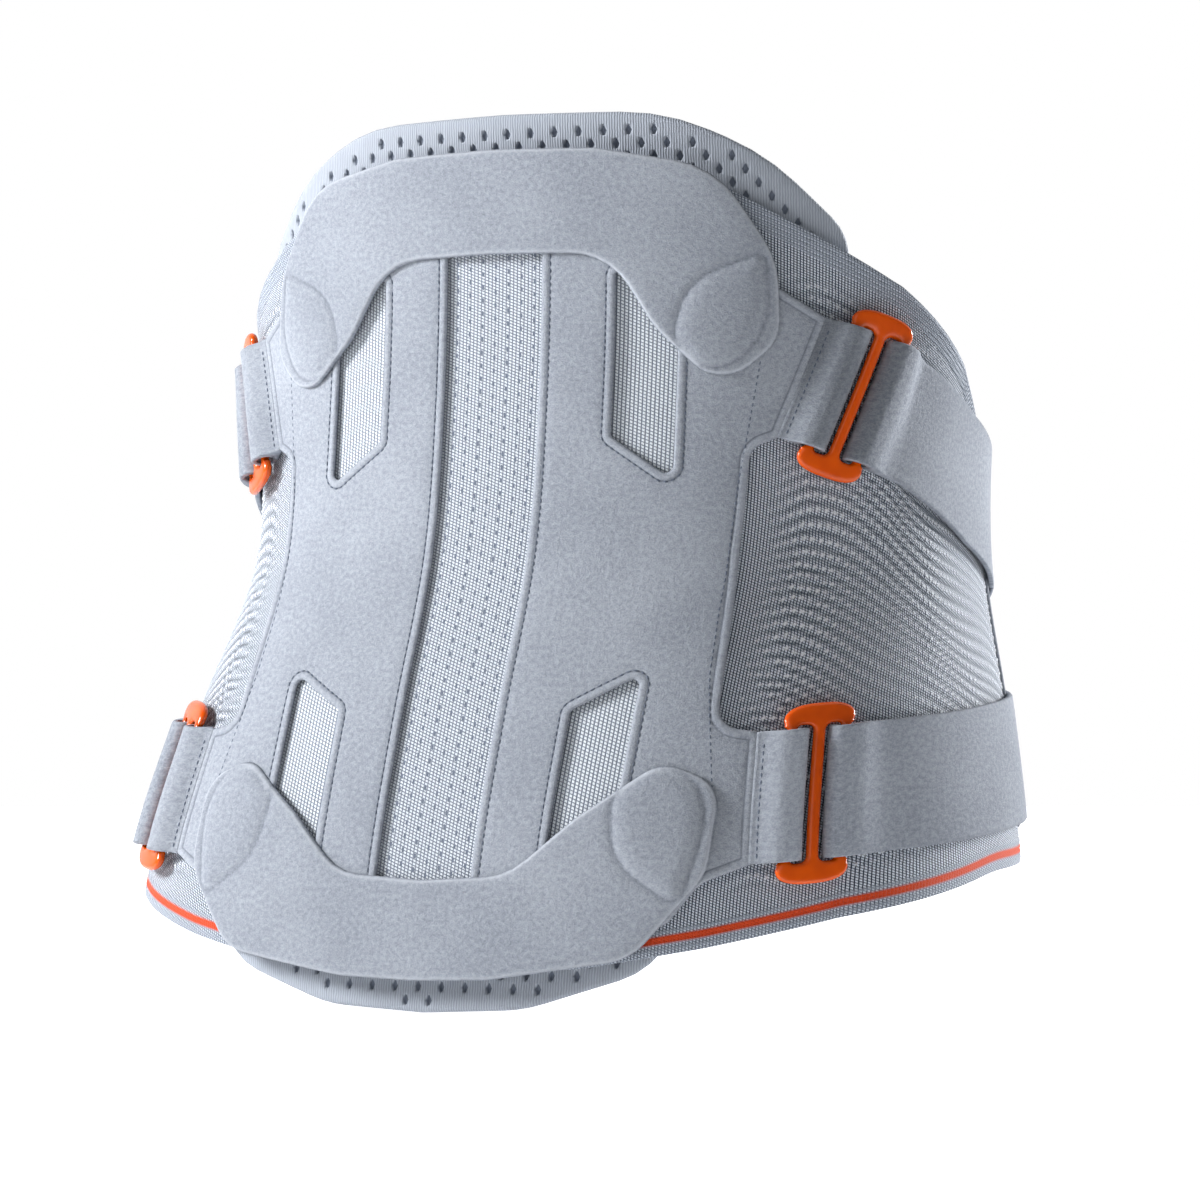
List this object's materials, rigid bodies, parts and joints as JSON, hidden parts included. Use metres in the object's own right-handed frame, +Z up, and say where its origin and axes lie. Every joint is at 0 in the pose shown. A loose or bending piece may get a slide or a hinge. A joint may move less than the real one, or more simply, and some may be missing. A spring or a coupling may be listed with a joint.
{
  "type": "lumbar support belt",
  "caption": "Knitted lumbar support belt in its worn shape, with a contoured velour back panel, link buckles and tension straps, and a lapped front closure.",
  "frame": {"origin": "on the vertical axis through the torso that the belt surrounds, level with the waist", "axes": "+Z up along the torso, -Y to the wearer's back, +Y to the front closure, +X to the wearer's right"},
  "size_m": [0.3402, 0.292, 0.332],
  "materials": {
    "knit": "flat-bed knit, light blue grey, raised relief rows",
    "panel_knit": "coarse grid knit seen through the panel windows and the centre strip",
    "spacer_mesh": "warp-knitted spacer mesh with drop-shaped holes",
    "pad_foam": "soft closed-cell foam, matt",
    "velour": "brushed loop velour, blue grey, moulded edges",
    "strap_velour": "brushed loop velour laminate, elastic",
    "spring_steel": "rolled spring steel strip, rounded ends",
    "orange_plastic": "glossy injection-moulded orange plastic, slightly translucent",
    "hook_tape": "moulded micro-hook tape, dark grey"
  },
  "bodies": {
    "back": {"mesh_pad": "spacer_mesh", "lumbar_pad": "pad_foam", "knit_back": "knit", "panel_lining": "panel_knit", "panel_cover_right": "velour", "panel_cover_left": "velour", "upper_yoke": "velour", "lower_yoke": "velour", "back_stay_inner_right": "spring_steel", "back_stay_outer_right": "spring_steel", "upper_arm_loop_right": "velour", "upper_strap_rear_right": "strap_velour", "lower_arm_loop_right": "velour", "lower_strap_rear_right": "strap_velour", "back_stay_inner_left": "spring_steel", "back_stay_outer_left": "spring_steel", "upper_arm_loop_left": "velour", "upper_strap_rear_left": "strap_velour", "lower_arm_loop_left": "velour", "lower_strap_rear_left": "strap_velour"},
    "front_flap_right": {"knit_front_right": "knit", "closure_panel_right": "velour", "finger_pocket_right": "velour", "upper_strap_front_right": "strap_velour", "lower_strap_front_right": "strap_velour", "closure_tongue": "velour", "closure_hook": "hook_tape"},
    "upper_buckle_right": {"upper_buckle_right": "orange_plastic"},
    "upper_lobe_right": {"upper_lobe_right": "velour"},
    "upper_tab_right": {"upper_strap_tab_right": "strap_velour", "upper_tab_hook_right": "hook_tape"},
    "lower_buckle_right": {"lower_buckle_right": "orange_plastic"},
    "lower_lobe_right": {"lower_lobe_right": "velour"},
    "lower_tab_right": {"lower_strap_tab_right": "strap_velour", "lower_tab_hook_right": "hook_tape"},
    "front_flap_left": {"knit_front_left": "knit", "closure_panel_left": "velour", "finger_pocket_left": "velour", "upper_strap_front_left": "strap_velour", "lower_strap_front_left": "strap_velour"},
    "upper_buckle_left": {"upper_buckle_left": "orange_plastic"},
    "upper_lobe_left": {"upper_lobe_left": "velour"},
    "upper_tab_left": {"upper_strap_tab_left": "strap_velour", "upper_tab_hook_left": "hook_tape"},
    "lower_buckle_left": {"lower_buckle_left": "orange_plastic"},
    "lower_lobe_left": {"lower_lobe_left": "velour"},
    "lower_tab_left": {"lower_strap_tab_left": "strap_velour", "lower_tab_hook_left": "hook_tape"}
  },
  "joints": [
    {"name": "right_flap_swing", "type": "hinge", "parent": "back", "child": "front_flap_right", "pos_m": [0.16084, 0.00292, -0.035], "axis": [-0.1403, 0.1679, 0.9758], "range_deg": [-105, 0]},
    {"name": "left_flap_swing", "type": "hinge", "parent": "back", "child": "front_flap_left", "pos_m": [-0.16084, 0.00299, -0.035], "axis": [0.1402, 0.1674, 0.9759], "range_deg": [0, 63]},
    {"name": "upper_right_buckle_tilt", "type": "hinge", "parent": "back", "child": "upper_buckle_right", "pos_m": [0.12204, -0.05459, 0.061], "axis": [0.2735, 0.2959, 0.9152], "range_deg": [-3, 3]},
    {"name": "lower_right_buckle_tilt", "type": "hinge", "parent": "back", "child": "lower_buckle_right", "pos_m": [0.12647, -0.10485, -0.08786], "axis": [-0.1054, 0.3585, 0.9276], "range_deg": [-3, 3]},
    {"name": "upper_left_buckle_tilt", "type": "hinge", "parent": "back", "child": "upper_buckle_left", "pos_m": [-0.12194, -0.0545, 0.061], "axis": [-0.2716, 0.2975, 0.9153], "range_deg": [-3, 3]},
    {"name": "lower_left_buckle_tilt", "type": "hinge", "parent": "back", "child": "lower_buckle_left", "pos_m": [-0.12663, -0.10507, -0.08786], "axis": [0.0999, 0.3521, 0.9306], "range_deg": [-3, 3]},
    {"name": "upper_right_lobe_peel", "type": "hinge", "parent": "back", "child": "upper_lobe_right", "pos_m": [0.07037, -0.08471, 0.108], "axis": [-0.0022, 0.0167, 0.9999], "range_deg": [-60, 0]},
    {"name": "lower_right_lobe_peel", "type": "hinge", "parent": "back", "child": "lower_lobe_right", "pos_m": [0.06958, -0.14125, -0.113], "axis": [0.0054, 0.2761, 0.9611], "range_deg": [-60, 0]},
    {"name": "upper_left_lobe_peel", "type": "hinge", "parent": "back", "child": "upper_lobe_left", "pos_m": [-0.07038, -0.08468, 0.108], "axis": [0.0022, 0.0159, 0.9999], "range_deg": [0, 60]},
    {"name": "lower_left_lobe_peel", "type": "hinge", "parent": "back", "child": "lower_lobe_left", "pos_m": [-0.06959, -0.1413, -0.113], "axis": [-0.0056, 0.2747, 0.9615], "range_deg": [0, 60]},
    {"name": "upper_right_tab_peel", "type": "hinge", "parent": "front_flap_right", "child": "upper_tab_right", "pos_m": [0.13509, 0.07218, 0.01107], "axis": [-0.2596, 0.3527, 0.899], "range_deg": [-70, 0]},
    {"name": "lower_right_tab_peel", "type": "hinge", "parent": "front_flap_right", "child": "lower_tab_right", "pos_m": [0.14443, 0.06981, -0.07391], "axis": [-0.1046, 0.0229, 0.9943], "range_deg": [-70, 0]},
    {"name": "upper_left_tab_peel", "type": "hinge", "parent": "front_flap_left", "child": "upper_tab_left", "pos_m": [-0.1351, 0.07221, 0.01107], "axis": [0.2589, 0.3529, 0.8991], "range_deg": [0, 70]},
    {"name": "lower_left_tab_peel", "type": "hinge", "parent": "front_flap_left", "child": "lower_tab_left", "pos_m": [-0.14439, 0.06988, -0.07391], "axis": [0.106, 0.0253, 0.994], "range_deg": [0, 70]}
  ],
  "couplings": [
    {"joint": "left_flap_swing", "follows": "right_flap_swing", "ratio": -0.6}
  ]
}
